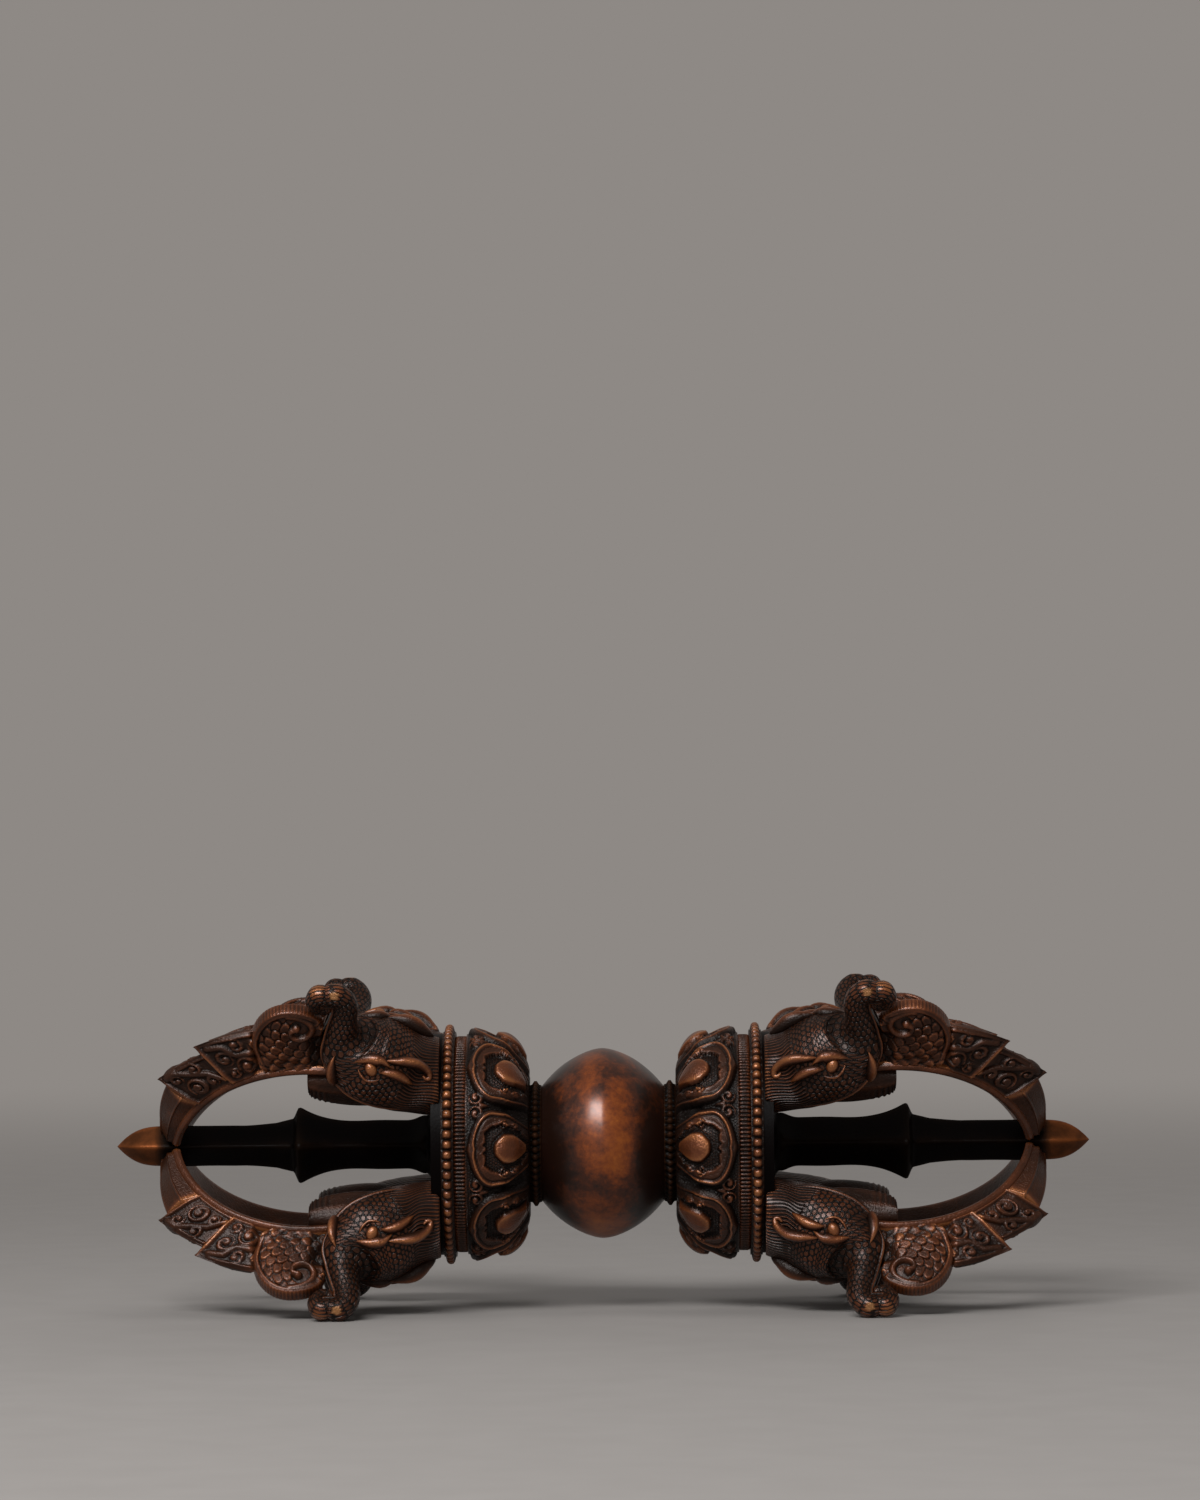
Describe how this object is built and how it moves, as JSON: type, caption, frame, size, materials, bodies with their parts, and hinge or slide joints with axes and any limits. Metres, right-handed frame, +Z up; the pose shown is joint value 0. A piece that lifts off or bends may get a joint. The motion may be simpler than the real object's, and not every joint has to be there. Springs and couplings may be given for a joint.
{
  "type": "dorje vajra",
  "caption": "Ritual sceptre lying on its side: round hub, beaded lotus bases and, at each end, makara-headed prongs arching over a square centre prong.",
  "frame": {"origin": "on the surface that the vajra lies on, under the middle of the hub", "axes": "+X along the axis from hub to right end, -Y towards the viewer of the picture, +Z up"},
  "size_m": [0.2502, 0.0846, 0.0846],
  "materials": {
    "burnished_copper": "burnished, waxed brown patina",
    "chased_copper": "chased and stippled, dark in the recesses and rubbed on the high points",
    "dark_patina": "satin, nearly black brown patina",
    "plain_copper": "plain turned copper, hidden"
  },
  "bodies": {
    "root": {"hub": "burnished_copper", "core_rod": "plain_copper", "left_collar": "dark_patina", "left_lotus_base": "chased_copper", "left_bead_ring": "chased_copper", "left_prong_seat": "dark_patina", "left_centre_prong": "dark_patina", "left_front_upper_prong": "chased_copper", "left_front_lower_prong": "chased_copper", "left_back_lower_prong": "chased_copper", "left_back_upper_prong": "chased_copper", "right_collar": "dark_patina", "right_lotus_base": "chased_copper", "right_bead_ring": "chased_copper", "right_prong_seat": "dark_patina", "right_centre_prong": "dark_patina", "right_front_upper_prong": "chased_copper", "right_front_lower_prong": "chased_copper", "right_back_lower_prong": "chased_copper", "right_back_upper_prong": "chased_copper"}
  },
  "joints": []
}
